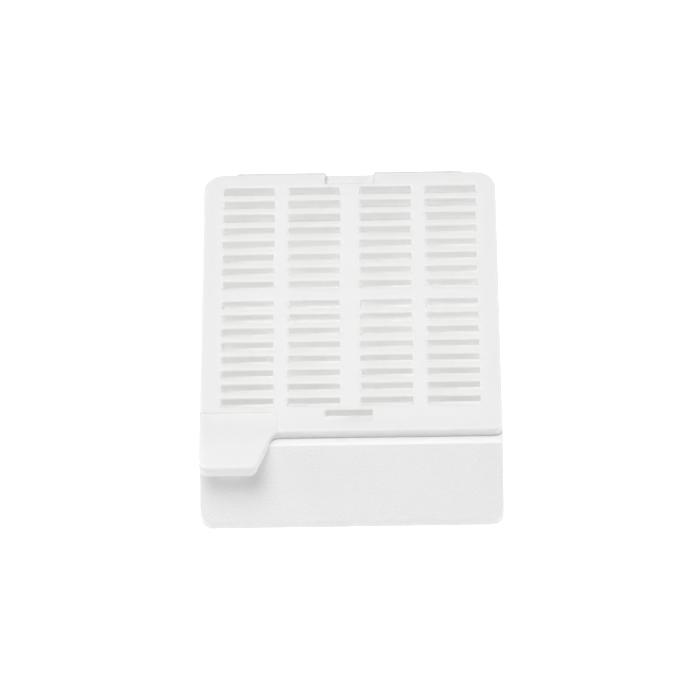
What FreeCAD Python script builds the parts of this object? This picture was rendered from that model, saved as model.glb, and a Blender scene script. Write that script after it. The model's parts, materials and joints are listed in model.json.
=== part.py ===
import FreeCAD, Part
import math
import os

from FreeCAD import Vector

# Tissue cassette, millimetres, shut. X across, front at -Y, +Z up, origin under the middle of the outline.
# One acetal moulding: a slotted tray with a slanted writing face, a slotted lid, and two hinge straps.

# Overall
base_width = 28.5
closed_height = 6.95
lid_length = 35.0
rim_land = 0.8              # rim in front of the lid, up to where the writing face would start if sharp
slope_angle = 45.0
foot_height = 0.8

# Walls
lid_thickness = 1.0
seat_gap = 0.02             # between rim and lid when shut
side_wall = 1.15
rear_wall = 0.92            # at the corners, thicker behind the rail
front_wall = 1.2
floor_thickness = 0.95
slope_wall = 1.1

# Outline
lid_side_setback = 0.03     # lid side inside the tray side
rear_corner_radius = 2.0
front_corner_radius = 0.8
foot_corner_radius = 1.2
chamber_corner_radius = 1.2
rail_from_side = 3.25       # the rail is the part of the rear edge that stands out to carry the hinge
rail_reach = 0.45
rail_below_top = 0.1        # a low step parts the rail's top from the lid's
rail_rounding = 0.5
lid_edge_rounding = 0.25
rim_rounding = 0.4          # from rim to writing face
slope_side_rounding = 0.2

# Slots, in lid and floor
slot_rows_per_group = 8
slot_width = 1.0
slot_corner_radius = 0.12
slots_from_rear = 2.35
slots_from_front = 3.34
slots_from_side = 1.985
group_bar_extra = 0.742     # how much wider the bar between the two groups of rows is
centre_bar = 1.93
column_bar = 1.37
floor_slot_shift = 0.62     # the floor's rows stand this much further back than the lid's

# Rear notch in the lid, and the tongue that stands in it
notch_width = 4.8
notch_depth = 1.9
tongue_height = 0.37
tongue_gap = 0.08          # clearance beside it
tongue_relief = 0.24       # hollowed out of its left end, in front of a thin rear web
tongue_web = 0.22
tongue_inset = 0.1          # tongue face in from each face of the rear wall
tongue_rounding = 0.08

# Front window, and the post that stands in it
window_centre = -0.14       # a little left of the middle
window_width = 4.5
window_length = 1.4
window_from_front = 1.3
window_corner_radius = 0.35
post_gap = 0.08
post_gap_left = 0.7         # the post stops well short of the window's left end
post_below_top = 0.15
post_thickness = 0.26
post_corner = 0.18          # its front right corner, under the window's own
post_backing = 0.13         # the root's reach behind the blade

# Finger tab
tab_root_width = 6.77
tab_tip_width = 5.12
tab_reach = 4.45
tab_thickness = 1.2
tab_corner_radius = 0.6
tab_root_radius = 0.9
tab_edge_rounding = 0.25
pad_depth = 0.12            # the tab and the pad behind it lie this much below the lid's top
pad_width = 7.53
pad_from_front = 2.5
pad_corner_radius = 1.1
tab_clear_of_rim = 0.85     # the underside stays level this far out, to pass over the rim
tab_lip_run = 0.9

# Ridge under the lid
ridge_height = 0.5
ridge_thickness = 0.4
ridge_gap = 0.12

# Hinge straps
strap_width = 3.2
strap_centre = 3.9
strap_thickness = 0.2
strap_outer_radius = 0.35
axis_behind_rail = 0.02

# Heights
lid_z = closed_height - lid_thickness
rim_z = lid_z - seat_gap
roof_z = rim_z - slope_wall

# Places along Y
slope_run = (rim_z - foot_height) / math.tan(math.radians(slope_angle))
body_length = lid_length + rim_land + slope_run
foot_y = -(body_length + axis_behind_rail + strap_outer_radius) / 2
rear_y = foot_y + body_length
rear_corner_y = rear_y - rail_reach
front_y = rear_y - lid_length
chamber_rear_y = rear_corner_y - rear_wall
chamber_front_y = front_y + front_wall
window_front_y = front_y + window_from_front
window_rear_y = window_front_y + window_length

# Places along X
half_base = base_width / 2
half_lid = half_base - lid_side_setback
half_chamber = half_base - side_wall
half_rail = half_base - rail_from_side
window_left = window_centre - window_width / 2
window_right = window_centre + window_width / 2

# Hinge axis, along X
axis_y = rear_y + axis_behind_rail
axis_z = lid_z - seat_gap / 2

# Slot grid
slot_field_length = lid_length - slots_from_rear - slots_from_front
slot_pitch = (slot_field_length - slot_width - group_bar_extra) / (2 * slot_rows_per_group - 1)
slot_length = (2 * (half_lid - slots_from_side) - centre_bar - 2 * column_bar) / 4


def block(x_low, x_high, y_low, y_high, z_low, z_high):
    return Part.makeBox(x_high - x_low, y_high - y_low, z_high - z_low, Vector(x_low, y_low, z_low))


def upright_prism(outline, z_low, z_high):
    """A prism over (x, y) corners."""
    corners = [Vector(x, y, z_low) for x, y in outline]
    face = Part.Face(Part.makePolygon(corners + corners[:1]))
    return face.extrude(Vector(0, 0, z_high - z_low))


def cross_prism(section, x_low, x_high):
    """A prism along X over (y, z) corners."""
    corners = [Vector(x_low, y, z) for y, z in section]
    face = Part.Face(Part.makePolygon(corners + corners[:1]))
    return face.extrude(Vector(x_high - x_low, 0, 0))


def close(a, b):
    return abs(a - b) < 1e-4


def edges_where(shape, test):
    """The edges whose ends and middle all pass test(point)."""
    return [edge for edge in shape.Edges if all(test(point) for point in edge.discretize(3))]


def round_upright(shape, x, y, radius):
    """Rounds the upright edges that stand at (x, y)."""
    return shape.makeFillet(radius, edges_where(shape, lambda p: close(p.x, x) and close(p.y, y)))


def round_block(body, radius):
    """Rounds all four upright edges of a block."""
    box = body.BoundBox
    for x in (box.XMin, box.XMax):
        for y in (box.YMin, box.YMax):
            body = round_upright(body, x, y, radius)
    return body


def slot_rows():
    """The middle of each row of slots, rear row first."""
    first = rear_y - slots_from_rear - slot_width / 2
    rows = []
    for row in range(2 * slot_rows_per_group):
        group = row // slot_rows_per_group
        rows.append(first - slot_pitch * row - group_bar_extra * group)
    return rows


def slot_columns():
    """The middle of each column of slots, left to right."""
    inner = (centre_bar + slot_length) / 2
    outer = inner + slot_length + column_bar
    return [-outer, -inner, inner, outer]


def slot_cutters(z_low, z_high, shift=0.0):
    x = slot_length / 2
    y = slot_width / 2
    cutter = round_block(block(-x, x, -y, y, z_low, z_high), slot_corner_radius)
    places = [Vector(column, row + shift, 0) for row in slot_rows() for column in slot_columns()]
    return Part.makeCompound([cutter.translated(place) for place in places])


def tray_body():
    """Walls and floor, before the slots are cut."""
    tray = block(-half_base, half_base, front_y, rear_corner_y, 0, rim_z)
    for side in (-half_base, half_base):
        tray = round_upright(tray, side, rear_corner_y, rear_corner_radius + lid_side_setback)
    rail = block(-half_rail, half_rail, chamber_rear_y, rear_y, 0, rim_z)
    chamber = block(-half_chamber, half_chamber, chamber_front_y, chamber_rear_y, floor_thickness, closed_height)
    return tray.fuse(rail).cut(round_block(chamber, chamber_corner_radius))


def writing_face():
    """The hollow wedge in front of the tray, open underneath."""
    rim_corner_y = foot_y + slope_run
    section = [
        (chamber_front_y, 0),
        (chamber_front_y, rim_z),
        (rim_corner_y, rim_z),
        (foot_y, foot_height),
        (foot_y, 0),
    ]
    wedge = cross_prism(section, -half_base, half_base)
    rim_corner = edges_where(wedge, lambda p: close(p.y, rim_corner_y) and close(p.z, rim_z))
    wedge = wedge.makeFillet(rim_rounding, rim_corner)
    wedge = round_foot_corners(wedge)
    return wedge.cut(wedge_hollow())


def round_foot_corners(wedge):
    """Keeps what lies inside an outline with round corners at the foot."""
    outline = block(-half_base, half_base, foot_y, chamber_front_y, 0, rim_z)
    for side in (-half_base, half_base):
        outline = round_upright(outline, side, foot_y, foot_corner_radius)
    return wedge.common(outline)


def wedge_hollow():
    """The space under the writing face, one wall thickness inside it."""
    slant = math.radians(slope_angle)
    drop = slope_wall / math.cos(slant)
    inner_foot_y = foot_y + (drop - foot_height) / math.tan(slant)
    roof_y = inner_foot_y + roof_z / math.tan(slant)
    section = [(inner_foot_y, 0), (roof_y, roof_z), (front_y, roof_z), (front_y, 0)]
    inside = half_base - side_wall
    return cross_prism(section, -inside, inside)


def tongue():
    """Stands up from the rear wall into the lid's notch."""
    x_low = -notch_width / 2 + tongue_gap
    x_high = notch_width / 2 - tongue_gap
    top_z = rim_z + tongue_height
    body = block(x_low, x_high, chamber_rear_y + tongue_inset, rear_y - tongue_inset, roof_z, top_z)
    body = body.makeFillet(tongue_rounding, edges_where(body, lambda p: close(p.z, top_z)))
    web_y = rear_y - tongue_inset - tongue_web
    relief = block(x_low - tongue_gap, x_low + tongue_relief, chamber_rear_y, web_y, rim_z, top_z + tongue_height)
    return body.cut(relief)


def catch_post():
    """A boss on the front wall, as wide as the lid's window, with a thin latch blade that stands in it."""
    left = window_left + post_gap_left
    right = window_right - post_gap
    blade_y = window_front_y + post_gap
    root_rear_y = blade_y + post_thickness + post_backing
    root = block(window_left, window_right, chamber_front_y - front_wall / 2, root_rear_y, 0, rim_z)
    blade = block(left, right, blade_y, blade_y + post_thickness, 0, closed_height - post_below_top)
    blade = round_upright(blade, right, blade_y, post_corner)
    return root.fuse(blade)


def make_base():
    base = tray_body().fuse(writing_face()).removeSplitter()
    sides = edges_where(base, lambda p: close(abs(p.x), half_base) and p.y < front_y and p.z > foot_height)
    base = base.makeFillet(slope_side_rounding, sides)
    base = base.fuse([tongue(), catch_post()])
    return base.cut(slot_cutters(-floor_thickness, 2 * floor_thickness, floor_slot_shift)).removeSplitter()


def lid_plate():
    """The plate behind and beside the pad, at the lid's full thickness."""
    pad_x = -half_lid + pad_width
    pad_y = front_y + pad_from_front
    outline = [
        (-half_lid, pad_y),
        (pad_x, pad_y),
        (pad_x, front_y),
        (half_lid, front_y),
        (half_lid, rear_corner_y),
        (-half_lid, rear_corner_y),
    ]
    plate = upright_prism(outline, lid_z, closed_height)
    plate = round_upright(plate, pad_x, pad_y, pad_corner_radius)
    plate = round_upright(plate, half_lid, front_y, front_corner_radius)
    for side in (-half_lid, half_lid):
        plate = round_upright(plate, side, rear_corner_y, rear_corner_radius)
    top = edges_where(plate, lambda p: close(p.z, closed_height))
    step = edges_where(plate, lambda p: p.x < pad_x + 1e-4 and p.y < pad_y + 1e-4)
    outer = [edge for edge in top if not any(edge.isSame(other) for other in step)]
    return plate.makeFillet(lid_edge_rounding, outer)


def rear_rail():
    """The rounded rail along the lid's rear edge, which carries the hinge."""
    top_z = closed_height - rail_below_top
    rail = block(-half_rail, half_rail, rear_corner_y - lid_edge_rounding, rear_y, lid_z, top_z)
    edge = edges_where(rail, lambda p: close(p.y, rear_y) and close(p.z, top_z))
    return rail.makeFillet(rail_rounding, edge)


def finger_tab():
    """The tab over the writing face, with the pad behind it let into the lid."""
    root_x = -half_lid + tab_root_width
    tip_x = -half_lid + tab_tip_width
    tip_y = front_y - tab_reach
    inner_x = -half_lid + pad_width + pad_corner_radius
    inner_y = front_y + pad_from_front + pad_corner_radius
    top_z = closed_height - pad_depth
    outline = [
        (-half_lid, inner_y),
        (-half_lid, tip_y),
        (tip_x, tip_y),
        (root_x, front_y),
        (inner_x, front_y),
        (inner_x, inner_y),
    ]
    tab = upright_prism(outline, top_z - tab_thickness, top_z)
    tab = round_upright(tab, -half_lid, tip_y, tab_corner_radius)
    tab = round_upright(tab, tip_x, tip_y, tab_corner_radius)
    tab = round_upright(tab, root_x, front_y, tab_root_radius)
    top = edges_where(tab, lambda p: close(p.z, top_z))
    inner = edges_where(tab, lambda p: close(p.x, inner_x) or close(p.y, inner_y))
    outer = [edge for edge in top if not any(edge.isSame(other) for other in inner)]
    tab = tab.makeFillet(tab_edge_rounding, outer)
    return tab.cut(under_tab(inner_y, top_z - tab_thickness))


def under_tab(rear, lip_z):
    """What is cut from below: level over the rim, then down to the tab's lip."""
    level_y = front_y - tab_clear_of_rim
    lip_y = level_y - tab_lip_run
    section = [(rear + 1, lid_z), (level_y, lid_z), (lip_y, lip_z), (lip_y, 0), (rear + 1, 0)]
    return cross_prism(section, -base_width, base_width)


def ridge_block(inset):
    """The outline of the chamber drawn in by inset, from the ridge's foot into the lid."""
    half = half_chamber - inset
    low_z = lid_z - ridge_height
    high_z = lid_z + lid_thickness / 2
    body = block(-half, half, chamber_front_y + inset, chamber_rear_y - inset, low_z, high_z)
    return round_block(body, chamber_corner_radius - inset)


def ridge():
    """A low ridge that drops just inside the chamber's walls, open at the catch post and the notch."""
    ring = ridge_block(ridge_gap).cut(ridge_block(ridge_gap + ridge_thickness))
    half_way = notch_width / 2 + ridge_thickness
    return ring.cut(block(-half_way, half_way, foot_y, rear_y, 0, lid_z))


def make_lid():
    lid = lid_plate().fuse([rear_rail(), finger_tab(), ridge()])
    half_notch = notch_width / 2
    notch = block(-half_notch, half_notch, rear_y - notch_depth, rear_y + notch_depth, 0, 2 * closed_height)
    window = block(window_left, window_right, window_front_y, window_rear_y, 0, 2 * closed_height)
    for side in (window_left, window_right):
        window = round_upright(window, side, window_front_y, window_corner_radius)
    lid = lid.cut(notch).cut(window).cut(slot_cutters(lid_z - lid_thickness, 2 * closed_height))
    return lid.removeSplitter()


def make_strap(centre_x, base, lid):
    """A web that leaves the tray's rear face, bends round the hinge axis and enters the lid's."""
    x_low = centre_x - strap_width / 2
    x_high = centre_x + strap_width / 2
    start = Vector(x_low, axis_y, axis_z)
    along = Vector(1, 0, 0)
    inner_radius = strap_outer_radius - strap_thickness
    tube = Part.makeCylinder(strap_outer_radius, strap_width, start, along)
    tube = tube.cut(Part.makeCylinder(inner_radius, strap_width, start, along))
    strap = tube.common(block(x_low, x_high, axis_y, axis_y + strap_outer_radius, 0, closed_height))
    for z_low in (axis_z - strap_outer_radius, axis_z + inner_radius):
        leg = block(x_low, x_high, rear_y - strap_outer_radius, axis_y, z_low, z_low + strap_thickness)
        strap = strap.fuse(leg)
    return strap.cut(base).cut(lid).removeSplitter()


def main():
    os.makedirs("parts", exist_ok=True)
    base = make_base()
    lid = make_lid()
    nodes = {
        "base": base,
        "lid": lid,
        "hinge_strap_left": make_strap(-strap_centre, base, lid),
        "hinge_strap_right": make_strap(strap_centre, base, lid),
    }
    for name, shape in nodes.items():
        print(name, "solids", len(shape.Solids), "valid", shape.isValid(), "volume", round(shape.Volume, 4))
        shape.exportStep(os.path.join("parts", name + ".step"))
    print("hinge axis at y", round(axis_y, 4), "z", round(axis_z, 4))


main()
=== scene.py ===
import json
import math

import bmesh
import bpy
from mathutils import Matrix, Vector


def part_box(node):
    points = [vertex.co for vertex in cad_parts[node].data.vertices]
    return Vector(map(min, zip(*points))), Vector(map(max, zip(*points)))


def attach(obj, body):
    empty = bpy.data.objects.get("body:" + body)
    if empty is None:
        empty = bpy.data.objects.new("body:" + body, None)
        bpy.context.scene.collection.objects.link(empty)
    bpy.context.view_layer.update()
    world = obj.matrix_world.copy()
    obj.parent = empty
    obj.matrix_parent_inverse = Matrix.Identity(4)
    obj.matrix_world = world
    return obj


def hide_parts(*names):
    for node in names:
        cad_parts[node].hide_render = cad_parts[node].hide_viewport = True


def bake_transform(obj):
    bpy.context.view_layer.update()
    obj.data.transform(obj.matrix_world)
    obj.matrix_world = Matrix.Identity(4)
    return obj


# Tissue cassette in white acetal: a slotted tray with a slanted writing face, its slotted lid and
# two hinge straps. Sizes are in millimetres and turned to metres when a mesh is made.

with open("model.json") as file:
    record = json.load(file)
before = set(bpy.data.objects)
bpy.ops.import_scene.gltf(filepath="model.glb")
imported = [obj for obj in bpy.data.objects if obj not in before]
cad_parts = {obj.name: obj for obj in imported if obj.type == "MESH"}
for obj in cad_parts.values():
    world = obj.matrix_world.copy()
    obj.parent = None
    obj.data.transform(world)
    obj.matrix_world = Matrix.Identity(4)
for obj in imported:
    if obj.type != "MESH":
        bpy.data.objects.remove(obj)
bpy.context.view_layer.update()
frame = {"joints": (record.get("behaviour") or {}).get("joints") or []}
MM = 0.001


def in_mm(node):
    low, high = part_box(node)
    return low / MM, high / MM


base_low, base_high = in_mm("base")
lid_low, lid_high = in_mm("lid")
hinge = frame["joints"][0]

# Tray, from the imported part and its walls
HALF_BASE = base_high.x
FOOT_Y = base_low.y
REAR_Y = base_high.y
TOP_Z = lid_high.z
LID_THICKNESS = 1.0
LID_Z = TOP_Z - LID_THICKNESS
SEAT_GAP = 0.007            # between the rim and the lid that lies on it
RIM_Z = LID_Z - SEAT_GAP
FOOT_HEIGHT = 0.8
RAIL_REACH = 0.45
RAIL_FROM_SIDE = 3.25
REAR_CORNER_Y = REAR_Y - RAIL_REACH
SIDE_WALL = 1.15
REAR_WALL = 0.92
FRONT_WALL = 1.2
FLOOR_Z = 0.95
SLOPE = math.radians(45)    # of the writing face
SLOPE_WALL = 1.1
RIM_ROUNDING = 0.4          # from the writing face to the rim
RIM_EDGE = 0.12             # round the sides and the rear of the rim
RIM_MARGIN = 0.22           # how far below the rim the writing face is still smooth
FRONT_FINISH_REACH = 1.2    # the front's finishes end this far behind the rim's front corner
FRONT_FINISH_MARGIN = 0.02  # and this far inside the upright sides
TRAY_REAR_RADIUS = 2.03
FOOT_CORNER_RADIUS = 1.2
SLOPE_SIDE_ROUNDING = 0.2
FOOT_EDGE_ROUNDING = 0.14
CHAMBER_RADIUS = 1.2
CHAMBER_FILLET = 0.3
HOLLOW_RADIUS = 0.12        # corners of the hollow under the writing face
EDGE_BREAK = 0.08           # small rounding where a mould edge is only broken
SUPPORT = 0.03              # row of faces beside each rounding that keeps the flats flat
RAIL_FOOT_RADIUS = 0.06     # where the rear rail leaves the wall
RAIL_END_RADIUS = 0.1
FRONT_COLUMNS = 190         # of faces across the writing face

# Lid
HALF_LID = lid_high.x
LID_LENGTH = 35.0
FRONT_Y = REAR_Y - LID_LENGTH
LID_REAR_RADIUS = 2.0
LID_FRONT_RADIUS = 0.8
LID_EDGE = 0.25
LID_SHARP = 0.01            # the lid's lower edge, left sharp where it meets the rim
RAIL_ROUNDING = 0.5
RAIL_BELOW_TOP = 0.1        # a low step parts the rail's top from the lid's
NOTCH_HALF = 2.4
NOTCH_DEPTH = 1.9
NOTCH_EDGE = 0.1
NOTCH_RADIUS = 0.12
HALF_RAIL = HALF_BASE - RAIL_FROM_SIDE

# Finger tab and the pad let into the lid behind it
PAD_DROP = 0.12
PAD_WIDTH = 7.53
PAD_DEPTH = 2.5
PAD_RADIUS = 1.1
PAD_X = -HALF_LID + PAD_WIDTH
PAD_Y = FRONT_Y + PAD_DEPTH
STEP_RUN = 0.05             # how far the step from the lid down to the pad slants
TAB_ROOT_WIDTH = 6.85
TAB_TIP_WIDTH = 5.2
TAB_ROOT_X = -HALF_LID + TAB_ROOT_WIDTH
TAB_TIP_X = -HALF_LID + TAB_TIP_WIDTH
TAB_TIP_Y = lid_low.y
TAB_EDGE = 0.35
TAB_LOW_EDGE = 0.14
TAB_LEFT_CORNER = 1.0
TAB_RIGHT_CORNER = 0.7
TAB_ROOT_RADIUS = 0.9
TAB_THICKNESS = 1.2
TAB_LOW_Z = TOP_Z - PAD_DROP - TAB_THICKNESS
TAB_LEVEL_REACH = 0.85      # the tab's underside is level this far, then slants down to its lip
TAB_SLANT_REACH = 0.9
TAB_LEVEL_Y = FRONT_Y - TAB_LEVEL_REACH
TAB_LIP_Y = TAB_LEVEL_Y - TAB_SLANT_REACH

# Slots, the same pattern in lid and floor
SLOT_LENGTH = 4.95
SLOT_WIDTH = 1.0
SLOT_RADIUS = 0.12
SLOT_MOUTH = 0.2            # rounding of the lid's slots along the top
SLOT_LOW_MOUTH = 0.22       # and along the bottom, as for the window
FLOOR_MOUTH = 0.06
FLOOR_SLOT_SHIFT = 0.74     # the floor's rows stand this much further back than the lid's
ROWS_PER_GROUP = 8
GROUPS = 2
ROW_PITCH = 1.838
GROUP_EXTRA = 0.742
REAR_MARGIN = 2.35          # from the rear edge to the first row
FIRST_ROW_Y = REAR_Y - REAR_MARGIN - SLOT_WIDTH / 2
COLUMN_BAR = 1.37
CENTRE_BAR = 1.93

# Window near the lid's front edge, and the thin latch blade that stands in it. The blade rises from a
# root on the front wall.
WINDOW_LEFT = -2.39
WINDOW_RIGHT = 2.11
WINDOW_FROM_FRONT = 1.3
WINDOW_DEPTH = 1.4
WINDOW_FRONT_Y = FRONT_Y + WINDOW_FROM_FRONT
WINDOW_REAR_Y = WINDOW_FRONT_Y + WINDOW_DEPTH
WINDOW_RADIUS = 0.35
WINDOW_REAR_RADIUS = 0.12
BLADE_GAP = 0.08
BLADE_FROM_LEFT = 0.7
BLADE_LEFT = WINDOW_LEFT + BLADE_FROM_LEFT
BLADE_RIGHT = WINDOW_RIGHT - BLADE_GAP
BLADE_FRONT_Y = WINDOW_FRONT_Y + BLADE_GAP
BLADE_THICKNESS = 0.26
BLADE_BELOW_TOP = 0.15
BLADE_TOP_Z = TOP_Z - BLADE_BELOW_TOP
BLADE_RADIUS = 0.06
BLADE_WIDE_RADIUS = 0.18    # at the front right
ROOT_MARGIN = 0.13
ROOT_RADIUS = 0.1
ROOT_FOOT_RADIUS = 0.15     # where the root leaves the front wall

# Tongue on the rear wall, which stands in the lid's notch
TONGUE_GAP = 0.08
TONGUE_RELIEF = 0.24        # its left end is hollow this far, in front of a thin web
TONGUE_WEB = 0.2
TONGUE_HEIGHT = 0.37
TONGUE_TOP_Z = RIM_Z + TONGUE_HEIGHT
TONGUE_INSET = 0.13
TONGUE_RADIUS = 0.09
TONGUE_HOLLOW_RADIUS = 0.05
BLOCK_ROUNDING = 0.05       # along the top of the blade and the tongue

# Low ridges under the lid
RIDGE_LOW_Z = lid_low.z
RIDGE_GAP = 0.12
RIDGE_WIDTH = 0.4
RIDGE_INNER_RADIUS = 0.3
RIDGE_END_RADIUS = 0.1
RIDGE_OPENING = 2.9         # half the opening between the two

# Places along Y
CHAMBER_REAR_Y = REAR_CORNER_Y - REAR_WALL
CHAMBER_FRONT_Y = FRONT_Y + FRONT_WALL
HALF_CHAMBER = HALF_BASE - SIDE_WALL
RIM_CORNER_Y = FOOT_Y + RIM_Z - FOOT_HEIGHT

# Hinge
AXIS_Y = hinge["pos_m"][1] / MM
AXIS_Z = hinge["pos_m"][2] / MM
STRAP_CENTRE = 3.9
STRAP_WIDTH = 3.2
STRAP_THICKNESS = 0.2
STRAP_EDGE = 0.05
STRAP_RADIUS = 0.25         # of the web's middle line
STRAP_ROOT = 0.06           # how far the web's ends run into the rail


# --- outlines -----------------------------------------------------------------------------------------


class Corner:
    """A corner of an outline seen from above, anticlockwise.

    It is rounded to its radius in that many steps. What the extras say is for the piece's own rows.
    """

    def __init__(self, x, y, radius=0.0, steps=0, **extra):
        self.x, self.y, self.radius, self.steps = x, y, radius, steps
        self.extra = extra


def ring(corners, inset):
    """Points of an outline drawn in by inset(corner, side), side being 'before' or 'after' the corner."""
    points = []
    count = len(corners)
    for i, corner in enumerate(corners):
        before, after = corners[i - 1], corners[(i + 1) % count]
        way_in = Vector((corner.x - before.x, corner.y - before.y)).normalized()
        way_out = Vector((after.x - corner.x, after.y - corner.y)).normalized()
        insets = inset(corner, "before"), inset(corner, "after")
        points.extend(corner_points(corner, way_in, way_out, *insets))
    return points


STRAIGHT = 1e-6             # two edges that turn by less than this meet without a corner
LEAST_RADIUS = 0.015        # a rounding drawn further in than its radius keeps this much


def corner_points(corner, way_in, way_out, inset_before, inset_after):
    """The points of one corner, where the two edges beside it are drawn in by their own insets."""
    left_in = Vector((-way_in.y, way_in.x))
    left_out = Vector((-way_out.y, way_out.x))
    here = Vector((corner.x, corner.y))
    cross = way_in.x * way_out.y - way_in.y * way_out.x
    if abs(cross) < STRAIGHT:
        return [here + left_out * inset_after]
    a = left_in.dot(here) + inset_before
    b = left_out.dot(here) + inset_after
    spot = Vector((a * left_out.y - b * left_in.y, b * left_in.x - a * left_out.x)) / cross
    if corner.steps == 0:
        return [spot]
    turn = math.atan2(cross, way_in.dot(way_out))
    middle = (inset_before + inset_after) / 2
    radius = max(corner.radius - math.copysign(middle, turn), LEAST_RADIUS)
    reach = radius * math.tan(abs(turn) / 2)
    start = spot - way_in * reach
    centre = start + left_in * math.copysign(radius, turn)
    arm = start - centre
    points = []
    for step in range(corner.steps + 1):
        angle = turn * step / corner.steps
        cos, sin = math.cos(angle), math.sin(angle)
        points.append(centre + Vector((arm.x * cos - arm.y * sin, arm.x * sin + arm.y * cos)))
    return points


def quarter(radius, steps):
    """(inset, drop) along a quarter round that starts on the flat and ends on the wall."""
    rows = []
    for step in range(steps + 1):
        angle = math.pi / 2 * step / steps
        rows.append((radius * (1 - math.sin(angle)), radius * (1 - math.cos(angle))))
    return rows


def rectangle(x_low, x_high, y_low, y_high, front_radius, rear_radius, steps):
    """Four corners, the front two and the rear two with roundings of their own."""
    return [
        Corner(x_low, y_low, front_radius, steps),
        Corner(x_high, y_low, front_radius, steps),
        Corner(x_high, y_high, rear_radius, steps),
        Corner(x_low, y_high, rear_radius, steps),
    ]


# --- shells -------------------------------------------------------------------------------------------

SATIN, ERODED, POLISHED, SLOT_WALLS = range(4)  # a moulding's finishes, in the order of its slots
WELD_REACH = 0.0004
DEGENERATE_LENGTH = 0.0003
FLAT_TOLERANCE = 1e-4
CREASE = math.radians(35)   # edges that turn further than this stay crisp


def new_object(name, data):
    obj = bpy.data.objects.new(name, data)
    bpy.context.scene.collection.objects.link(obj)
    return obj


class Shell:
    """A mesh in millimetres, made of rings joined row to row and of flats filled between them."""

    def __init__(self):
        self.mesh = bmesh.new()

    def skin(self, rows):
        """Faces between each row of points and the next, round the whole ring."""
        rings = [[self.mesh.verts.new(point) for point in points] for points in rows]
        for upper, lower in zip(rings, rings[1:]):
            count = len(upper)
            for i in range(count):
                j = (i + 1) % count
                self.mesh.faces.new((upper[i], upper[j], lower[j], lower[i]))
        return rings

    def prism(self, corners, rows):
        """Rows of (inset, height) round an outline of its own, such as a post or a hole."""
        rings = []
        for inset, height in rows:
            flat = ring(corners, lambda corner, side, inset=inset: inset)
            rings.append([Vector((p.x, p.y, height)) for p in flat])
        return self.skin(rings)

    def weld(self):
        """Joins the points where two rings meet and takes out the faces that this leaves empty."""
        bmesh.ops.remove_doubles(self.mesh, verts=self.mesh.verts, dist=WELD_REACH)
        bmesh.ops.dissolve_degenerate(self.mesh, edges=self.mesh.edges, dist=DEGENERATE_LENGTH)

    def fill(self, height, material=SATIN):
        """Fills the flat at this height between every open edge that lies on it."""
        edges = [
            edge
            for edge in self.mesh.edges
            if len(edge.link_faces) < 2 and all(abs(v.co.z - height) < FLAT_TOLERANCE for v in edge.verts)
        ]
        made = bmesh.ops.triangle_fill(self.mesh, edges=edges, use_beauty=True, normal=(0, 0, 1))
        for item in made["geom"]:
            if isinstance(item, bmesh.types.BMFace):
                item.material_index = material

    def add(self, obj, material):
        """Takes in the mesh of another object, which is in metres."""
        verts, faces = len(self.mesh.verts), len(self.mesh.faces)
        self.mesh.from_mesh(obj.data)
        self.mesh.verts.ensure_lookup_table()
        self.mesh.faces.ensure_lookup_table()
        for vert in self.mesh.verts[verts:]:
            vert.co /= MM
        for face in self.mesh.faces[faces:]:
            face.material_index = material

    def finish(self, name):
        """Makes the object, smooth but for its creases, and prints what shows whether it is closed."""
        mesh = self.mesh
        self.weld()
        bmesh.ops.recalc_face_normals(mesh, faces=mesh.faces)
        for face in mesh.faces:
            face.smooth = True
        open_edges = 0
        for edge in mesh.edges:
            if len(edge.link_faces) != 2:
                open_edges += 1
                continue
            edge.smooth = edge.calc_face_angle() < CREASE
        volume = round(mesh.calc_volume(), 1)
        print(name, "faces", len(mesh.faces), "open edges", open_edges, "volume", volume)
        return self.to_object(name)

    def to_object(self, name):
        """Turns the mesh to metres and hands it over."""
        for vert in self.mesh.verts:
            vert.co *= MM
        data = bpy.data.meshes.new(name)
        self.mesh.to_mesh(data)
        self.mesh.free()
        return new_object(name, data)


# --- nodes and colours --------------------------------------------------------------------------------


def add_node(tree, kind, settings=None, links=None):
    """Adds a node, sets its properties and inputs, and links what is given as a socket."""
    node = tree.nodes.new(kind)
    for key, value in (settings or {}).items():
        setattr(node, key, value)
    for key, value in (links or {}).items():
        socket = node.inputs[key]
        if isinstance(value, bpy.types.NodeSocket):
            tree.links.new(value, socket)
        else:
            socket.default_value = value
    return node


def linear(code):
    """A hex sRGB colour as the linear numbers that sockets take."""
    parts = [int(code[i : i + 2], 16) / 255 for i in (1, 3, 5)]
    return tuple(c / 12.92 if c <= 0.04045 else ((c + 0.055) / 1.055) ** 2.4 for c in parts) + (1.0,)


WHITE = linear("#FFFFFF")


def clear_tree(owner):
    """The empty node tree of a new material or world."""
    owner.use_nodes = True
    owner.node_tree.nodes.clear()
    return owner.node_tree


# --- slots --------------------------------------------------------------------------------------------

COLUMNS = 4
SLOT_GRID_INPUTS = {
    "Lining": "Object",
    "Rows per group": "Int",
    "Groups": "Int",
    "Row pitch": "Float",
    "Group extra": "Float",
    "First row": "Float",
    "Column pitch": "Float",
    "Centre extra": "Float",
    "Finish": "Material",
}


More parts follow.
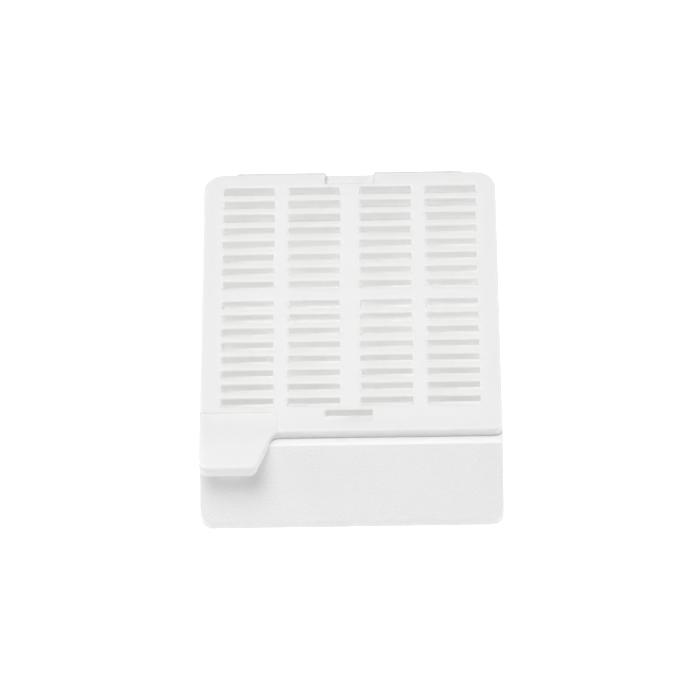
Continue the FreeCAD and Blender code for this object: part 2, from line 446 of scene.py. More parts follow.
def slot_grid_tree():
    """Sets one slot's lining out in groups of rows and in columns with a wider bar down the middle."""
    tree = bpy.data.node_groups.new("slot_grid", "GeometryNodeTree")
    tree.interface.new_socket("Geometry", in_out="OUTPUT", socket_type="NodeSocketGeometry")
    for name, kind in SLOT_GRID_INPUTS.items():
        tree.interface.new_socket(name, in_out="INPUT", socket_type="NodeSocket" + kind)
    given = add_node(tree, "NodeGroupInput").outputs
    numbers = {name: given[name] for name in SLOT_GRID_INPUTS}
    numbers["index"] = add_node(tree, "GeometryNodeInputIndex").outputs[0]
    for name, operation, a, b in (
        ("row count", "MULTIPLY", "Rows per group", "Groups"),
        ("row step", "MULTIPLY", "Row pitch", -1.0),
        ("row in groups", "DIVIDE", "index", "Rows per group"),
        ("group", "FLOOR", "row in groups", 0.0),
        ("group gap", "MULTIPLY", "group", "Group extra"),
        ("group shift", "MULTIPLY", "group gap", -1.0),
        ("left of middle", "MULTIPLY", "Column pitch", -(COLUMNS - 1) / 2),
        ("half extra", "MULTIPLY", "Centre extra", -0.5),
        ("first column", "ADD", "left of middle", "half extra"),
        ("column in halves", "DIVIDE", "index", COLUMNS / 2),
        ("past middle", "FLOOR", "column in halves", 0.0),
        ("column shift", "MULTIPLY", "past middle", "Centre extra"),
    ):
        pair = {0: numbers.get(a, a), 1: numbers.get(b, b)}
        numbers[name] = add_node(tree, "ShaderNodeMath", {"operation": operation}, pair).outputs[0]

    lines = []
    for axis, count, start, step, shift in (
        ("Y", numbers["row count"], "First row", "row step", "group shift"),
        ("X", COLUMNS, "first column", "Column pitch", "column shift"),
    ):
        start, step, shift = (
            add_node(tree, "ShaderNodeCombineXYZ", links={axis: numbers[name]}).outputs[0]
            for name in (start, step, shift)
        )
        line = add_node(
            tree, "GeometryNodeMeshLine", links={"Count": count, "Start Location": start, "Offset": step}
        ).outputs[0]
        moved = add_node(tree, "GeometryNodeSetPosition", links={"Geometry": line, "Offset": shift})
        lines.append(moved.outputs[0])

    grid, columns = lines
    lining = add_node(tree, "GeometryNodeObjectInfo", links={"Object": given["Lining"]}).outputs["Geometry"]
    for item in (columns, lining):
        placed = add_node(tree, "GeometryNodeInstanceOnPoints", links={"Points": grid, "Instance": item})
        grid = add_node(
            tree, "GeometryNodeRealizeInstances", links={"Geometry": placed.outputs[0]}
        ).outputs[0]
    finished = add_node(
        tree, "GeometryNodeSetMaterial", links={"Geometry": grid, "Material": given["Finish"]}
    ).outputs[0]
    add_node(tree, "NodeGroupOutput", links={"Geometry": finished})
    return tree


def slot_lining(name, high, low, mouth_high, mouth_low):
    """The wall of one slot with its rounded mouths, centred, open at both flats."""
    shell = Shell()
    half_x, half_y = SLOT_LENGTH / 2, SLOT_WIDTH / 2
    corners = rectangle(-half_x, half_x, -half_y, half_y, SLOT_RADIUS, SLOT_RADIUS, steps=5)
    rows = [(-mouth_high - SUPPORT, high)]
    rows += [(-inset, high - drop) for inset, drop in quarter(mouth_high, steps=6)]
    rows += [(0, high - mouth_high - SUPPORT), (0, low + mouth_low + SUPPORT)]
    rows += [(-inset, low + drop) for inset, drop in reversed(quarter(mouth_low, steps=3))]
    rows += [(-mouth_low - SUPPORT, low)]
    shell.prism(corners, rows)
    return shell.to_object(name)


def slot_field(tree, lining, shift, finish):
    """All the linings of one slotted plate as a plain mesh object."""
    carrier = new_object(lining.name + "_field", bpy.data.meshes.new("field"))
    modifier = carrier.modifiers.new("slots", "NODES")
    modifier.node_group = tree
    values = {
        "Lining": lining,
        "Rows per group": ROWS_PER_GROUP,
        "Groups": GROUPS,
        "Row pitch": ROW_PITCH * MM,
        "Group extra": GROUP_EXTRA * MM,
        "First row": (FIRST_ROW_Y + shift) * MM,
        "Column pitch": (SLOT_LENGTH + COLUMN_BAR) * MM,
        "Centre extra": (CENTRE_BAR - COLUMN_BAR) * MM,
        "Finish": finish,
    }
    for item in tree.interface.items_tree:
        if item.in_out == "INPUT":
            modifier[item.identifier] = values[item.name]
    bpy.context.view_layer.update()
    graph = bpy.context.evaluated_depsgraph_get()
    baked = bpy.data.meshes.new_from_object(carrier.evaluated_get(graph))
    carrier.modifiers.clear()
    carrier.data = baked
    return carrier


# --- lid ----------------------------------------------------------------------------------------------


def lid_corners():
    """The lid's outline from the right end of the front edge, with the tab and the notch.

    Each corner carries its own heights and edge roundings, and "rail" says which side of it is the
    rail's back. The marked ones are where the pad's step and the tab's underside begin and end.
    """
    plate = {"top": TOP_Z, "low": LID_Z, "edge": LID_EDGE, "low_edge": LID_SHARP, "rail": ""}
    notch = {**plate, "edge": NOTCH_EDGE}
    tab = {**plate, "top": TOP_Z - PAD_DROP, "edge": TAB_EDGE}
    tip = {**tab, "low": TAB_LOW_Z, "low_edge": TAB_LOW_EDGE}
    slant = (TAB_ROOT_X - TAB_TIP_X) / (FRONT_Y - TAB_TIP_Y)

    def on_slant(y):
        return TAB_TIP_X + (y - TAB_TIP_Y) * slant

    return [
        Corner(HALF_LID, FRONT_Y, LID_FRONT_RADIUS, steps=8, **plate),
        Corner(HALF_LID, REAR_CORNER_Y, LID_REAR_RADIUS, steps=14, **plate),
        Corner(HALF_RAIL, REAR_CORNER_Y, RAIL_FOOT_RADIUS, steps=2, **plate),
        Corner(HALF_RAIL, REAR_Y, RAIL_END_RADIUS, steps=3, **{**plate, "rail": "after"}),
        Corner(NOTCH_HALF, REAR_Y, NOTCH_RADIUS, steps=3, **{**notch, "rail": "before"}),
        Corner(NOTCH_HALF, REAR_Y - NOTCH_DEPTH, NOTCH_RADIUS, steps=3, **notch),
        Corner(-NOTCH_HALF, REAR_Y - NOTCH_DEPTH, NOTCH_RADIUS, steps=3, **notch),
        Corner(-NOTCH_HALF, REAR_Y, NOTCH_RADIUS, steps=3, **{**notch, "rail": "after"}),
        Corner(-HALF_RAIL, REAR_Y, RAIL_END_RADIUS, steps=3, **{**plate, "rail": "before"}),
        Corner(-HALF_RAIL, REAR_CORNER_Y, RAIL_FOOT_RADIUS, steps=2, **plate),
        Corner(-HALF_LID, REAR_CORNER_Y, LID_REAR_RADIUS, steps=14, **plate),
        Corner(-HALF_LID, PAD_Y + STEP_RUN, mark="step_left", **plate),
        Corner(-HALF_LID, PAD_Y, mark="pad_left", **tab),
        Corner(-HALF_LID, TAB_LEVEL_Y, mark="level_left", **tab),
        Corner(-HALF_LID, TAB_LIP_Y, mark="lip_left", **tip),
        Corner(-HALF_LID, TAB_TIP_Y, TAB_LEFT_CORNER, steps=10, **tip),
        Corner(TAB_TIP_X, TAB_TIP_Y, TAB_RIGHT_CORNER, steps=8, **tip),
        Corner(on_slant(TAB_LIP_Y), TAB_LIP_Y, mark="lip_right", **tip),
        Corner(on_slant(TAB_LEVEL_Y), TAB_LEVEL_Y, mark="level_right", **tab),
        Corner(TAB_ROOT_X, FRONT_Y, TAB_ROOT_RADIUS, steps=8, **tab),
        Corner(PAD_X, FRONT_Y, mark="pad_right", **tab),
        Corner(PAD_X + STEP_RUN, FRONT_Y, mark="step_right", **plate),
    ]


def station_marks(corners):
    """Where each marked corner's point stands in a ring."""
    marks, index = {}, 0
    for corner in corners:
        if corner.extra.get("mark"):
            marks[corner.extra["mark"]] = index
        index += corner.steps + 1
    return marks


def heights_in_ring(corners, height):
    """height(corner) once for every point of the ring."""
    return [height(corner) for corner in corners for _ in range(corner.steps + 1)]


def rail_inset(height, edge_inset):
    """The rail's back: the lid's own edge above, then the step out to the rail and the rail's round."""
    over = height - (TOP_Z - RAIL_BELOW_TOP - RAIL_ROUNDING)
    if over > RAIL_ROUNDING:
        return RAIL_REACH + edge_inset
    return RAIL_ROUNDING - math.sqrt(RAIL_ROUNDING**2 - max(over, 0.0) ** 2)


def lid_rows(corners):
    """Rings of the lid's side from the top flat down and under to the bottom flat."""
    rail_from_z = LID_Z + 3 * LID_SHARP

    def make(height, inset):
        def drawn_in(corner, side):
            if corner.extra["rail"] == side and height(corner) > rail_from_z:
                return rail_inset(height(corner), inset(corner))
            return inset(corner)

        flat = ring(corners, drawn_in)
        heights = heights_in_ring(corners, height)
        return [Vector((p.x, p.y, z)) for p, z in zip(flat, heights)]

    rows = [make(lambda c: c.extra["top"], lambda c: c.extra["edge"] + SUPPORT)]
    for share, drop in quarter(1.0, steps=7):
        rows.append(
            make(
                lambda c, d=drop: c.extra["top"] - c.extra["edge"] * d,
                lambda c, s=share: c.extra["edge"] * s,
            )
        )
    wall_rows = 7
    for step in range(wall_rows + 1):
        share = step / wall_rows

        def height(corner, share=share):
            upper = TOP_Z - LID_EDGE - SUPPORT - (PAD_DROP if corner.extra["top"] < TOP_Z else 0)
            lower = corner.extra["low"] + corner.extra["low_edge"] + SUPPORT
            return upper + (lower - upper) * share

        rows.append(make(height, lambda c: 0.0))
    for share, drop in reversed(quarter(1.0, steps=4)):
        rows.append(
            make(
                lambda c, d=drop: c.extra["low"] + c.extra["low_edge"] * d,
                lambda c, s=share: c.extra["low_edge"] * s,
            )
        )
    rows.append(make(lambda c: c.extra["low"], lambda c: c.extra["low_edge"] + SUPPORT))
    return rows


def pad_step(shell, top, marks):
    """The low step round the pad, from the left side to the front edge."""
    upper_ends = top[marks["step_left"]], top[marks["step_right"]]
    lower_ends = top[marks["pad_left"]], top[marks["pad_right"]]

    def line(ends, offset):
        corner = Corner(PAD_X + offset, PAD_Y + offset, PAD_RADIUS + offset, steps=10)
        bend = corner_points(corner, Vector((1, 0)), Vector((0, -1)), 0, 0)
        height = ends[0].co.z
        return [ends[0]] + [shell.mesh.verts.new((p.x, p.y, height)) for p in bend] + [ends[1]]

    upper, lower = line(upper_ends, STEP_RUN), line(lower_ends, 0.0)
    for i in range(len(upper) - 1):
        shell.mesh.faces.new((upper[i], lower[i], lower[i + 1], upper[i + 1]))


def tab_underside(shell, bottom, marks):
    """The slanting part under the tab, between the level part behind it and the lip before it."""
    names = ("level_left", "lip_left", "lip_right", "level_right")
    shell.mesh.faces.new([bottom[marks[name]] for name in names])


def ridge_corners(side):
    """One of the two low ridges under the lid, round one half of the chamber."""
    outer_x = HALF_CHAMBER - RIDGE_GAP
    front, rear = CHAMBER_FRONT_Y + RIDGE_GAP, CHAMBER_REAR_Y - RIDGE_GAP
    inner_x = outer_x - RIDGE_WIDTH
    radius = CHAMBER_RADIUS - RIDGE_GAP
    corners = [
        Corner(RIDGE_OPENING, front, RIDGE_END_RADIUS, steps=3),
        Corner(outer_x, front, radius, steps=8),
        Corner(outer_x, rear, radius, steps=8),
        Corner(RIDGE_OPENING, rear, RIDGE_END_RADIUS, steps=3),
        Corner(RIDGE_OPENING, rear - RIDGE_WIDTH, RIDGE_END_RADIUS, steps=3),
        Corner(inner_x, rear - RIDGE_WIDTH, RIDGE_INNER_RADIUS, steps=8),
        Corner(inner_x, front + RIDGE_WIDTH, RIDGE_INNER_RADIUS, steps=8),
        Corner(RIDGE_OPENING, front + RIDGE_WIDTH, RIDGE_END_RADIUS, steps=3),
    ]
    if side > 0:
        return corners
    return [Corner(-c.x, c.y, c.radius, c.steps) for c in reversed(corners)]


def make_lid(slots):
    """The slotted plate with its pad, tab, notch, rail, window and ridges."""
    shell = Shell()
    corners = lid_corners()
    marks = station_marks(corners)
    rings = shell.skin(lid_rows(corners))
    pad_step(shell, rings[0], marks)
    tab_underside(shell, rings[-1], marks)
    window = rectangle(
        WINDOW_LEFT, WINDOW_RIGHT, WINDOW_FRONT_Y, WINDOW_REAR_Y, WINDOW_RADIUS, WINDOW_REAR_RADIUS, steps=6
    )
    rows = [(-NOTCH_EDGE - SUPPORT, TOP_Z)]
    rows += [(-inset, TOP_Z - drop) for inset, drop in quarter(NOTCH_EDGE, steps=5)]
    rows += [(0, TOP_Z - NOTCH_EDGE - SUPPORT), (0, LID_Z + SLOT_LOW_MOUTH + SUPPORT)]
    rows += [(-inset, LID_Z + drop) for inset, drop in reversed(quarter(SLOT_LOW_MOUTH, steps=5))]
    rows += [(-SLOT_LOW_MOUTH - SUPPORT, LID_Z)]
    shell.prism(window, rows)
    for side in (1, -1):
        rows = [(0, LID_Z), (0, RIDGE_LOW_Z + EDGE_BREAK + SUPPORT)]
        rows += [(inset, RIDGE_LOW_Z + drop) for inset, drop in reversed(quarter(EDGE_BREAK, steps=3))]
        rows += [(EDGE_BREAK + SUPPORT, RIDGE_LOW_Z)]
        shell.prism(ridge_corners(side), rows)
    shell.add(slots, SLOT_WALLS)
    shell.weld()
    for height in (TOP_Z, TOP_Z - PAD_DROP, LID_Z, TAB_LOW_Z, RIDGE_LOW_Z):
        shell.fill(height)
    return shell.finish("lid_moulding")


# --- tray ---------------------------------------------------------------------------------------------


def front_profile():
    """(y, z) of the writing face from under the foot up to the rim."""
    points = [(FOOT_Y + EDGE_BREAK + SUPPORT, 0.0)]
    points += [(FOOT_Y + inset, drop) for inset, drop in quarter(EDGE_BREAK, steps=3)]
    reach = FOOT_EDGE_ROUNDING * math.tan(SLOPE / 2)
    points.append((FOOT_Y, FOOT_HEIGHT - reach - SUPPORT))
    foot_rows = 4
    for step in range(foot_rows + 1):
        angle = SLOPE * step / foot_rows
        y = FOOT_Y + FOOT_EDGE_ROUNDING * (1 - math.cos(angle))
        z = FOOT_HEIGHT - reach + FOOT_EDGE_ROUNDING * math.sin(angle)
        points.append((y, z))
    slope_start = points[-1]
    reach = RIM_ROUNDING * math.tan(SLOPE / 2)
    slope_end = (RIM_CORNER_Y - reach / math.sqrt(2), RIM_Z - reach / math.sqrt(2))
    slope_rows = 44
    for step in range(1, slope_rows):
        share = step / slope_rows
        points.append(
            (
                slope_start[0] + (slope_end[0] - slope_start[0]) * share,
                slope_start[1] + (slope_end[1] - slope_start[1]) * share,
            )
        )
    arc_rows = 18
    for step in range(arc_rows + 1):
        angle = SLOPE * (1 - step / arc_rows)
        y = RIM_CORNER_Y + reach - RIM_ROUNDING * math.sin(angle)
        z = RIM_Z - RIM_ROUNDING * (1 - math.cos(angle))
        points.append((y, z))
    points.append((RIM_CORNER_Y + reach + 2 * SUPPORT, RIM_Z))
    return points


def tray_outline(y_front, inset):
    """The tray's ring at one height: front edge left to right, then round by the rear."""
    right = foot_corner(y_front, HALF_BASE - inset)
    left = [Vector((-p.x, p.y)) for p in reversed(right)]
    start_x, end_x = left[-1].x, right[0].x
    front = []
    for step in range(1, FRONT_COLUMNS):
        front.append(Vector((start_x + (end_x - start_x) * step / FRONT_COLUMNS, right[0].y)))
    rear = [
        Corner(HALF_BASE, 0.0),
        Corner(HALF_BASE, REAR_CORNER_Y, TRAY_REAR_RADIUS, steps=14),
        Corner(HALF_RAIL, REAR_CORNER_Y, RAIL_FOOT_RADIUS, steps=2),
        Corner(HALF_RAIL, REAR_Y, RAIL_END_RADIUS, steps=3),
        Corner(-HALF_RAIL, REAR_Y, RAIL_END_RADIUS, steps=3),
        Corner(-HALF_RAIL, REAR_CORNER_Y, RAIL_FOOT_RADIUS, steps=2),
        Corner(-HALF_BASE, REAR_CORNER_Y, TRAY_REAR_RADIUS, steps=14),
        Corner(-HALF_BASE, 0.0),
    ]
    back = ring(rear, lambda c, side: inset)[1:-1]
    return front + right + back + left


def foot_corner(y_front, half):
    """The right front corner, from the front edge round to the side: the foot's round, cut by the face."""
    rise = min(max(y_front - FOOT_Y, 0.0), FOOT_CORNER_RADIUS)
    centre = Vector((half - FOOT_CORNER_RADIUS, FOOT_Y + FOOT_CORNER_RADIUS))
    end = math.asin((FOOT_CORNER_RADIUS - rise) / FOOT_CORNER_RADIUS)
    round_turn = math.pi / 2 - end
    reach = SLOPE_SIDE_ROUNDING * math.tan(round_turn / 2)
    meet = Vector((centre.x + FOOT_CORNER_RADIUS * math.cos(end), y_front))
    side = []
    side_steps = 8
    last = max(end - reach / FOOT_CORNER_RADIUS, 0.0)
    for step in range(side_steps + 1):
        share = step / side_steps
        if y_front - FOOT_Y >= FOOT_CORNER_RADIUS:
            side.append(Vector((half, y_front + reach + (FOOT_CORNER_RADIUS - reach) * share)))
        else:
            angle = last * (1 - share)
            side.append(centre + FOOT_CORNER_RADIUS * Vector((math.cos(angle), -math.sin(angle))))
    start = Vector((meet.x - reach, y_front))
    bend = []
    bend_steps = 5
    for step in range(bend_steps):
        t = step / bend_steps
        bend.append(start * (1 - t) ** 2 + meet * (2 * t * (1 - t)) + side[0] * t**2)
    return bend + side


def rim_inset(height):
    """The small rounding of the rim's outer edge."""
    over = height - (RIM_Z - RIM_EDGE)
    if over <= 0:
        return 0.0
    return RIM_EDGE - math.sqrt(max(RIM_EDGE**2 - over**2, 0.0))


def foot_inset(height):
    """The same under the foot."""
    if height >= EDGE_BREAK:
        return 0.0
    return EDGE_BREAK - math.sqrt(EDGE_BREAK**2 - (EDGE_BREAK - height) ** 2)


def chamber_corners():
    """The chamber's outline, which goes round the latch blade's root."""
    left, right = WINDOW_LEFT - ROOT_MARGIN, WINDOW_RIGHT + ROOT_MARGIN
    root_y = BLADE_FRONT_Y + BLADE_THICKNESS + ROOT_MARGIN
    return [
        Corner(HALF_CHAMBER, CHAMBER_FRONT_Y, CHAMBER_RADIUS, steps=8),
        Corner(HALF_CHAMBER, CHAMBER_REAR_Y, CHAMBER_RADIUS, steps=8),
        Corner(-HALF_CHAMBER, CHAMBER_REAR_Y, CHAMBER_RADIUS, steps=8),
        Corner(-HALF_CHAMBER, CHAMBER_FRONT_Y, CHAMBER_RADIUS, steps=8),
        Corner(left, CHAMBER_FRONT_Y, ROOT_FOOT_RADIUS, steps=3),
        Corner(left, root_y, ROOT_RADIUS, steps=3),
        Corner(right, root_y, ROOT_RADIUS, steps=3),
        Corner(right, CHAMBER_FRONT_Y, ROOT_FOOT_RADIUS, steps=3),
    ]


def blade_corners():
    """The latch blade's outline, with a wider round at the front right."""
    rear = BLADE_FRONT_Y + BLADE_THICKNESS
    return [
        Corner(BLADE_RIGHT, BLADE_FRONT_Y, BLADE_WIDE_RADIUS, steps=4),
        Corner(BLADE_RIGHT, rear, BLADE_RADIUS, steps=2),
        Corner(BLADE_LEFT, rear, BLADE_RADIUS, steps=2),
        Corner(BLADE_LEFT, BLADE_FRONT_Y, BLADE_RADIUS, steps=2),
    ]


def tongue_corners():
    """The tongue's outline: its left end is hollowed in front of a thin web."""
    left = TONGUE_GAP - NOTCH_HALF
    right = NOTCH_HALF - TONGUE_GAP
    front = CHAMBER_REAR_Y + TONGUE_INSET
    rear = REAR_Y - TONGUE_INSET
    return [
        Corner(left + TONGUE_RELIEF, front, TONGUE_RADIUS, steps=3),
        Corner(right, front, TONGUE_RADIUS, steps=3),
        Corner(right, rear, TONGUE_RADIUS, steps=3),
        Corner(left, rear, TONGUE_RADIUS, steps=3),
        Corner(left, rear - TONGUE_WEB, TONGUE_RADIUS, steps=3),
        Corner(left + TONGUE_RELIEF, rear - TONGUE_WEB, TONGUE_HOLLOW_RADIUS, steps=3),
    ]


def wedge_rows():
    """The hollow under the writing face: rings that shorten towards its roof."""
    foot = math.sqrt(2) * SLOPE_WALL - FOOT_HEIGHT
    inner_foot_y = FOOT_Y + foot
    roof_z = RIM_Z - SLOPE_WALL
    rows = []
    steps = 10
    for step in range(steps + 1):
        height = roof_z * step / steps
        corners = rectangle(
            -HALF_CHAMBER, HALF_CHAMBER, inner_foot_y + height, FRONT_Y, HOLLOW_RADIUS, HOLLOW_RADIUS, steps=4
        )
        rows.append([Vector((p.x, p.y, height)) for p in ring(corners, lambda c, side: 0.0)])
    return rows


def raised_block(shell, corners, high):
    """A block that stands on the rim, rounded along its top."""
    rows = [(0, RIM_Z), (0, high - BLOCK_ROUNDING - SUPPORT)]
    rows += [(inset, high - drop) for inset, drop in reversed(quarter(BLOCK_ROUNDING, steps=5))]
    rows += [(BLOCK_ROUNDING + SUPPORT, high)]
    shell.prism(corners, rows)


def make_tray(slots):
    """The slotted floor, the walls, the writing face with its hollow, the tongue and the latch blade."""
    shell = Shell()
    rows = []
    profile = front_profile()
    for y, z in profile:
        inset = max(rim_inset(z), foot_inset(z))
        if (y, z) in (profile[0], profile[-1]):
            inset += SUPPORT
        rows.append([Vector((p.x, p.y, z)) for p in tray_outline(y, inset)])
    shell.skin(rows)
    paint_front(shell.mesh)
    rows = [(-EDGE_BREAK - SUPPORT, RIM_Z)]
    rows += [(-inset, RIM_Z - drop) for inset, drop in quarter(EDGE_BREAK, steps=4)]
    rows += [(0, RIM_Z - EDGE_BREAK - SUPPORT), (0, FLOOR_Z + CHAMBER_FILLET + SUPPORT)]
    rows += [(inset, FLOOR_Z + drop) for inset, drop in reversed(quarter(CHAMBER_FILLET, steps=5))]
    rows += [(CHAMBER_FILLET + SUPPORT, FLOOR_Z)]
    shell.prism(chamber_corners(), rows)
    shell.skin(wedge_rows())
    raised_block(shell, tongue_corners(), TONGUE_TOP_Z)
    raised_block(shell, blade_corners(), BLADE_TOP_Z)
    shell.add(slots, SLOT_WALLS)
    shell.weld()
    for height in (0.0, FLOOR_Z, RIM_Z - SLOPE_WALL, TONGUE_TOP_Z, BLADE_TOP_Z):
        shell.fill(height)
    shell.fill(RIM_Z, POLISHED)
    return shell.finish("tray_moulding")


def paint_front(mesh):
    """Gives the writing face its eroded grain and the rim's rounding its polish."""
    rear_limit = RIM_CORNER_Y + FRONT_FINISH_REACH
    side_limit = HALF_BASE - FRONT_FINISH_MARGIN
    for face in mesh.faces:
        middle = face.calc_center_median()
        if abs(middle.x) < side_limit and middle.y < rear_limit:
            face.material_index = POLISHED if middle.z > RIM_Z - RIM_MARGIN else ERODED


# --- straps -------------------------------------------------------------------------------------------


def make_strap(name, centre_x):
    """A thin web that leaves the tray's rear face, bends round the hinge axis and enters the lid's rail."""
    path = [(REAR_Y - STRAP_ROOT, AXIS_Z - STRAP_RADIUS), (REAR_Y, AXIS_Z - STRAP_RADIUS)]
    bend_steps = 24
    for step in range(bend_steps + 1):
        angle = -math.pi / 2 + math.pi * step / bend_steps
        path.append((AXIS_Y + STRAP_RADIUS * math.cos(angle), AXIS_Z + STRAP_RADIUS * math.sin(angle)))
    path += [(REAR_Y, AXIS_Z + STRAP_RADIUS), (REAR_Y - 2 * STRAP_ROOT, AXIS_Z + STRAP_RADIUS)]
    half_x, half_y = STRAP_WIDTH / 2, STRAP_THICKNESS / 2
    section = rectangle(-half_x, half_x, -half_y, half_y, STRAP_EDGE, STRAP_EDGE, steps=3)
    flat = ring(section, lambda c, side: 0.0)
    shell = Shell()
    rows = []
    for i, (y, z) in enumerate(path):
        before, after = path[max(i - 1, 0)], path[min(i + 1, len(path) - 1)]
        along = Vector((after[0] - before[0], after[1] - before[1])).normalized()
        out = Vector((along.y, -along.x))
        rows.append([Vector((centre_x + p.x, y + out.x * p.y, z + out.y * p.y)) for p in flat])
    rings = shell.skin(rows)
    shell.mesh.faces.new(rings[0])
    shell.mesh.faces.new(list(reversed(rings[-1])))
    return shell.finish(name)


# --- materials ----------------------------------------------------------------------------------------

ACETAL_IOR = 1.48
SCATTER_DEPTH = 0.8         # how far light goes into the plastic, the same for every colour
SCATTER_WEIGHT = 0.6
PATCH_WIDTH = 6.0           # of the faint patches in the plastic
GLOSS_SPREAD = 0.03         # how much the roughness changes from patch to patch


def acetal(name, colour, shade, roughness, grain, depth, strength, painted_pit_shade=False):
    """White acetal: light scatters a little way into it, and the mould's finish shows as a fine grain.

    The grain's width and depth are in millimetres. The shade lies in faint patches, or, where asked, in the
    pits of the grain as painted shade: the pits are coloured darker where shade would fall in them.
    """
    material = bpy.data.materials.new(name)
    tree = clear_tree(material)
    where = add_node(tree, "ShaderNodeTexCoord").outputs["Object"]
    patches, relief = (
        add_node(
            tree,
            "ShaderNodeTexNoise",
            links={"Vector": where, "Scale": 1 / (width * MM), "Detail": detail, "Roughness": rough},
        ).outputs["Fac"]
        for width, detail, rough in ((PATCH_WIDTH, 3.0, 0.6), (grain, 2.0, 0.55))
    )
    share = patches
    # Painted shade: the low parts of the grain, its pits, take the darker colour, as shade would fall in
    # them.
    if painted_pit_shade:
        share = add_node(
            tree, "ShaderNodeMapRange", links={"Value": relief, "From Min": 0.62, "From Max": 0.5}
        ).outputs["Result"]
    base = add_node(
        tree,
        "ShaderNodeMix",
        {"data_type": "RGBA"},
        {"Factor": share, "A": linear(colour), "B": linear(shade)},
    ).outputs["Result"]
    bump = add_node(
        tree,
        "ShaderNodeBump",
        links={"Height": relief, "Distance": depth * MM, "Strength": strength},
    ).outputs["Normal"]
    gloss = add_node(
        tree,
        "ShaderNodeMapRange",
        links={
            "Value": patches,
            "From Min": 0.3,
            "From Max": 0.7,
            "To Min": roughness - GLOSS_SPREAD,
            "To Max": roughness + GLOSS_SPREAD,
        },
    ).outputs["Result"]
    shader = add_node(
        tree,
        "ShaderNodeBsdfPrincipled",
        links={
            "Base Color": base,
            "Roughness": gloss,
            "IOR": ACETAL_IOR,
            "Subsurface Weight": SCATTER_WEIGHT,
            "Subsurface Radius": (1.0, 1.0, 1.0),
            "Subsurface Scale": SCATTER_DEPTH * MM,
            "Normal": bump,
        },
    )
    add_node(tree, "ShaderNodeOutputMaterial", links={"Surface": shader.outputs["BSDF"]})
    return material


# --- build --------------------------------------------------------------------------------------------

# Moulded against lightly blasted steel: an even soft sheen, the grain too fine to be made out.
satin = acetal(
    "acetal_satin", "#FEFEFE", "#FEFDFD", roughness=0.4, grain=0.09, depth=0.002, strength=0.35
)
# Moulded against spark-eroded steel, to take pencil and print: dull, with a fine speckle of painted shade in
# the pits of its grain. The grain is drawn as coarse as it needs to be to show.
eroded = acetal(
    "acetal_spark_eroded",
    "#FEFEFE",
    "#FAF9F9",
    roughness=0.34,
    grain=0.16,
    depth=0.035,
    strength=1.0,
    painted_pit_shade=True,
)
# Moulded against polished steel, on the rim and its rounding: a narrow clear highlight.
polished = acetal(
    "acetal_polished", "#FEFEFE", "#FEFDFD", roughness=0.2, grain=0.3, depth=0.002, strength=0.2
)
# Moulded round the ground pins that make the slots: smooth. Its colour is whiter than the other finishes,
# painted light that brightens the slots as the light between the walls does.
slot_walls = acetal(
    "acetal_slot_walls", "#FFFFFE", "#FEFEFD", roughness=0.3, grain=0.3, depth=0.002, strength=0.2
)

tree = slot_grid_tree()
lid_lining = slot_lining("lid_slot_lining", TOP_Z, LID_Z, SLOT_MOUTH, SLOT_LOW_MOUTH)
lid_slots = slot_field(tree, lid_lining, 0.0, slot_walls)
floor_lining = slot_lining("floor_slot_lining", FLOOR_Z, 0.0, FLOOR_MOUTH, FLOOR_MOUTH)
floor_slots = slot_field(tree, floor_lining, FLOOR_SLOT_SHIFT, slot_walls)

lid = make_lid(lid_slots)
tray = make_tray(floor_slots)
straps = {
    "hinge_strap_left": make_strap("strap_left", -STRAP_CENTRE),
    "hinge_strap_right": make_strap("strap_right", STRAP_CENTRE),
}
for spare in (lid_slots, floor_slots, lid_lining, floor_lining):
    bpy.data.objects.remove(spare)

for strap in straps.values():
    strap.data.materials.append(satin)
for moulding in (lid, tray):
    for finish in (satin, eroded, polished, slot_walls):
        moulding.data.materials.append(finish)

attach(lid, "cover")
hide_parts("lid")
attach(tray, "tray")
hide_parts("base")
for node, strap in straps.items():
    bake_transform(strap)
    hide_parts(node)


# --- studio, in metres --------------------------------------------------------------------------------

TABLE_HALF = 1.5
TABLE_DROP = 0.00001        # keeps the table clear of the underside, which lies at zero
TABLE_LIGHT = 0.35          # the table is lit from below as well, and gives this much light to the object
AIM = Vector((0, 0, 0.005))
LIGHT_BOUNCES = 32          # white walls this close together hand the light on many times


def make_table():
    """A plain white table that shows pure white away from the object and keeps its shadow."""
    data = bpy.data.meshes.new("table")
    corners = [(x * TABLE_HALF, y * TABLE_HALF, 0) for x, y in ((-1, -1), (1, -1), (1, 1), (-1, 1))]
    data.from_pydata(corners, [], [(0, 1, 2, 3)])
    obj = new_object("table", data)
    obj.location.z = -TABLE_DROP
    material = bpy.data.materials.new("white_table")
    tree = clear_tree(material)
    paint = add_node(tree, "ShaderNodeBsdfDiffuse", links={"Color": linear("#E4E4E4")}).outputs[0]
    rays = add_node(tree, "ShaderNodeLightPath").outputs
    strength = rays["Is Camera Ray"]
    for other in (rays["Is Transmission Ray"], TABLE_LIGHT):
        strength = add_node(
            tree, "ShaderNodeMath", {"operation": "MAXIMUM"}, {0: strength, 1: other}
        ).outputs[0]
    glow = add_node(tree, "ShaderNodeEmission", links={"Color": WHITE, "Strength": strength}).outputs[0]
    both = add_node(tree, "ShaderNodeAddShader", links={0: paint, 1: glow}).outputs[0]
    add_node(tree, "ShaderNodeOutputMaterial", links={"Surface": both})
    data.materials.append(material)


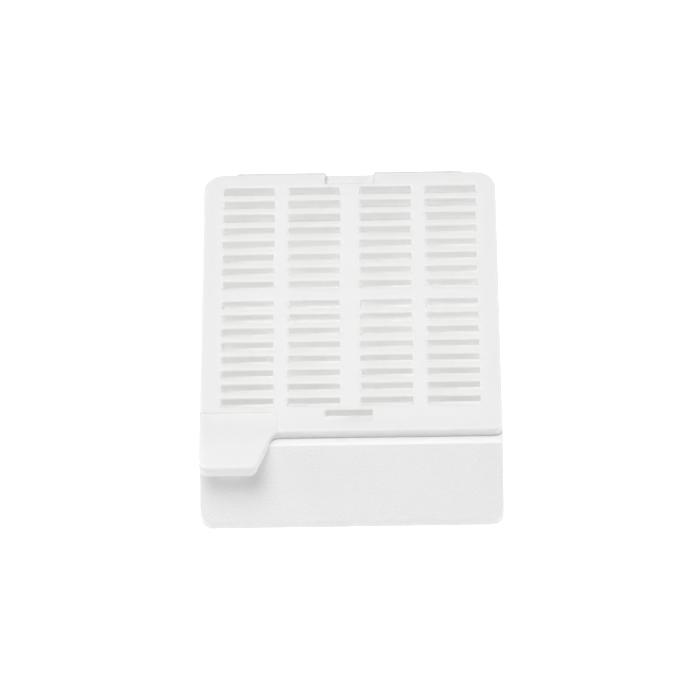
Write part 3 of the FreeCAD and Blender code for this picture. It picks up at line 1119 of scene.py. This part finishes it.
def make_world(strength):
    """Plain white light from all round."""
    world = bpy.data.worlds.new("studio")
    bpy.context.scene.world = world
    tree = clear_tree(world)
    light = add_node(tree, "ShaderNodeBackground", links={"Color": WHITE, "Strength": strength})
    add_node(tree, "ShaderNodeOutputWorld", links={"Surface": light.outputs[0]})


def softbox(name, place, size, watts):
    """A soft lamp turned to the object's middle."""
    data = bpy.data.lights.new(name, "AREA")
    data.shape = "RECTANGLE"
    data.size, data.size_y = size
    data.energy = watts
    obj = new_object(name, data)
    obj.location = place
    obj.rotation_mode = "QUATERNION"
    obj.rotation_quaternion = (AIM - Vector(place)).to_track_quat("-Z", "Y")


CAMERA_ELEVATION = math.radians(46)
CAMERA_YAW = math.radians(0.871)
CAMERA_ROLL = math.radians(-1.476)
CAMERA_DISTANCE = 549.0     # millimetres, as are the lens and the sensor
CAMERA_TARGET = Vector((-0.037, REAR_Y - 24.535, TOP_Z))
LENS = 297.72
SENSOR = 36.0


def make_camera():
    """A long lens above and in front of the writing face."""
    level = CAMERA_DISTANCE * math.cos(CAMERA_ELEVATION)
    height = CAMERA_DISTANCE * math.sin(CAMERA_ELEVATION)
    away = Vector((math.sin(CAMERA_YAW) * level, -math.cos(CAMERA_YAW) * level, height))
    data = bpy.data.cameras.new("camera")
    data.sensor_width = SENSOR
    data.lens = LENS
    data.clip_start, data.clip_end = 0.01, 10.0
    obj = new_object("camera", data)
    obj.location = (CAMERA_TARGET + away) * MM
    look = (-away).to_track_quat("-Z", "Y").to_matrix()
    turn = Matrix.Rotation(CAMERA_ROLL, 3, "Z")
    obj.rotation_mode = "QUATERNION"
    obj.rotation_quaternion = (look @ turn).to_quaternion()
    bpy.context.scene.camera = obj


make_table()
make_world(strength=0.26)
softbox("overhead_softbox", place=(-0.12, -0.05, 0.55), size=(0.4, 0.4), watts=1.92)
softbox("left_softbox", place=(-0.6, 0.0, 0.2), size=(0.4, 0.3), watts=0.7)
softbox("right_softbox", place=(0.6, 0.0, 0.2), size=(0.4, 0.3), watts=1.15)
make_camera()
bpy.context.scene.cycles.max_bounces = LIGHT_BOUNCES
bpy.context.scene.cycles.diffuse_bounces = LIGHT_BOUNCES
bpy.context.scene.view_settings.view_transform = "Standard"
